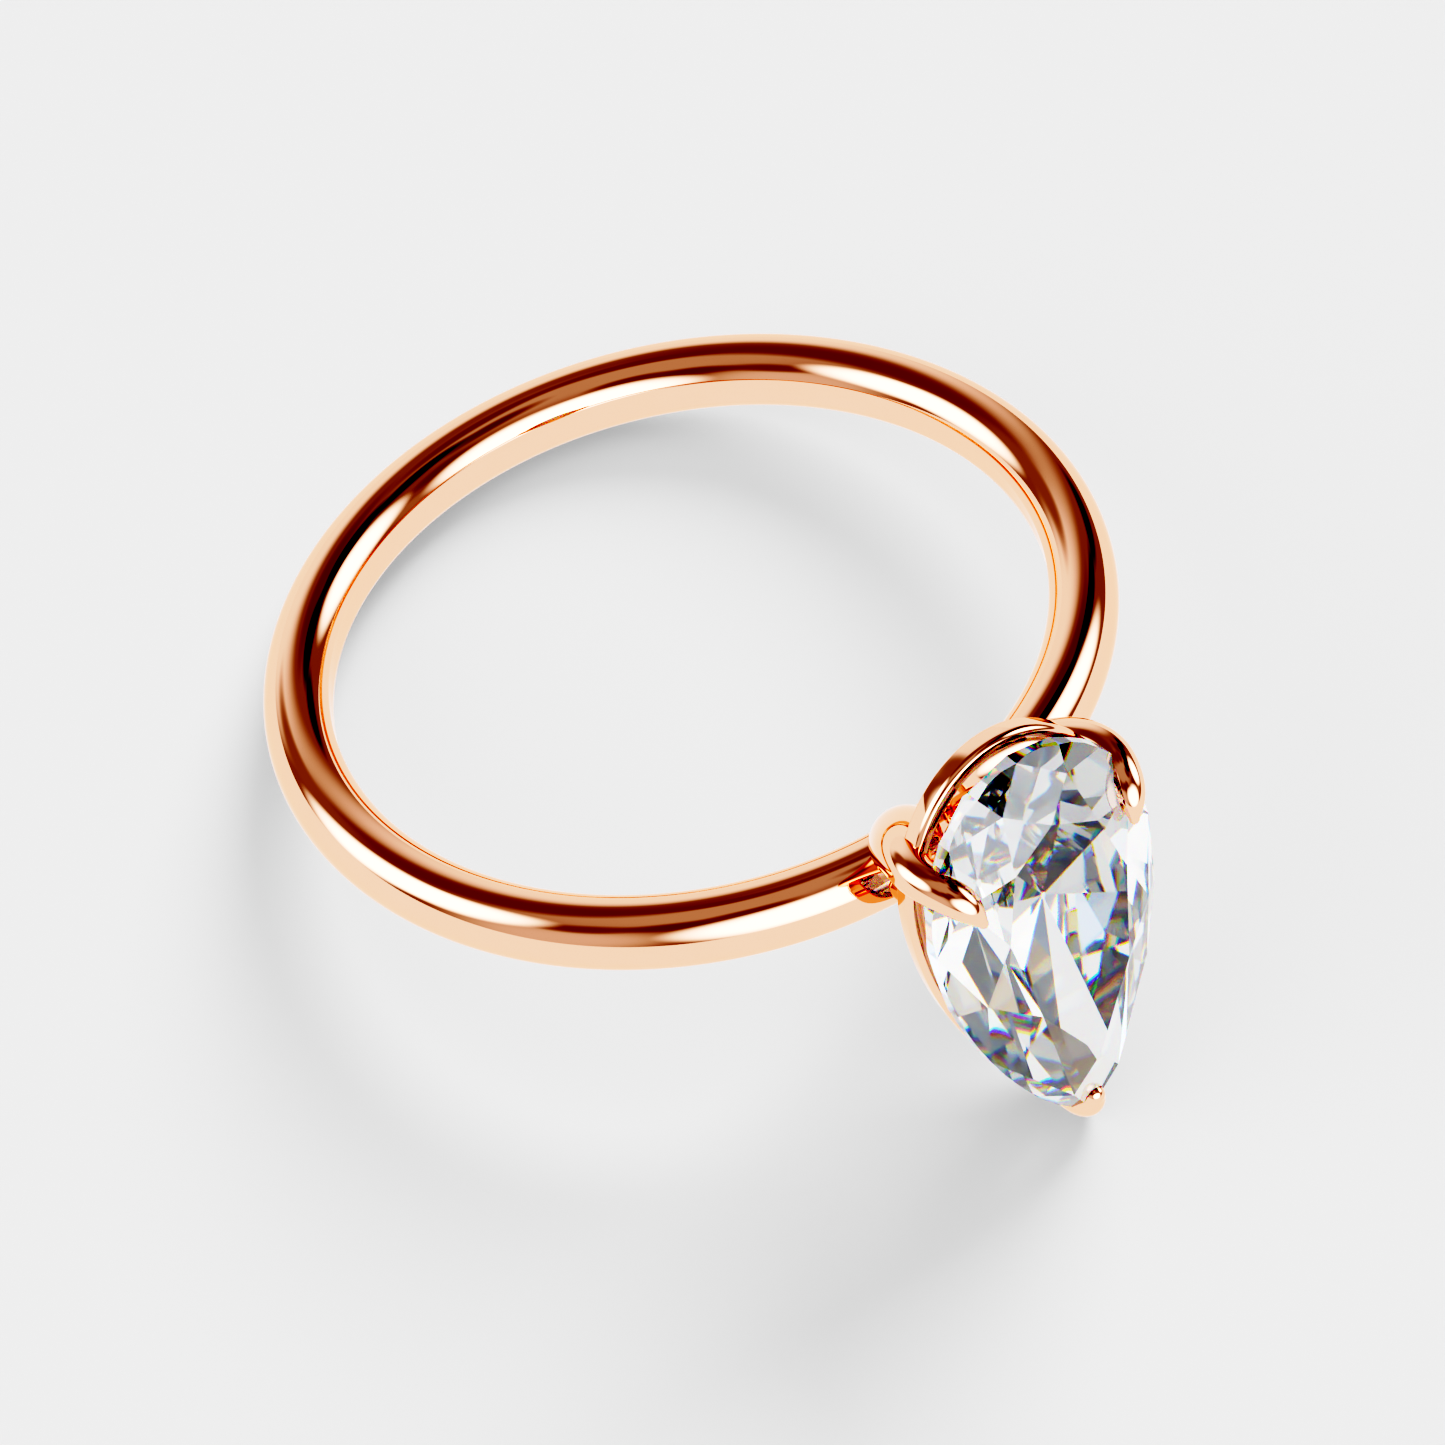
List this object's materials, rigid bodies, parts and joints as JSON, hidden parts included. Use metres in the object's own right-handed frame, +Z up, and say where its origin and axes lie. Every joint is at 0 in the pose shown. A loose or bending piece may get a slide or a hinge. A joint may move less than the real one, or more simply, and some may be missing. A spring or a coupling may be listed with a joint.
{
  "type": "engagement ring",
  "caption": "Slim polished rose gold ring lying on its side, with a pear-cut clear stone in a three-claw head with a gallery rail.",
  "frame": {"origin": "centre of the finger hole, in the middle of the band's width", "axes": "the ring lies on its side as it rests on a table: +Z up, +Y from the stone across the finger hole to the back of the band, +X to the right seen from the stone's side"},
  "size_m": [0.0196, 0.0239, 0.0111],
  "materials": {
    "rose_gold": "polished",
    "diamond": "polished"
  },
  "bodies": {
    "root": {"shank": "rose_gold", "head_base": "rose_gold", "gallery_rail": "rose_gold", "claw_left": "rose_gold", "claw_right": "rose_gold", "claw_point": "rose_gold", "diamond": "diamond"}
  },
  "joints": []
}
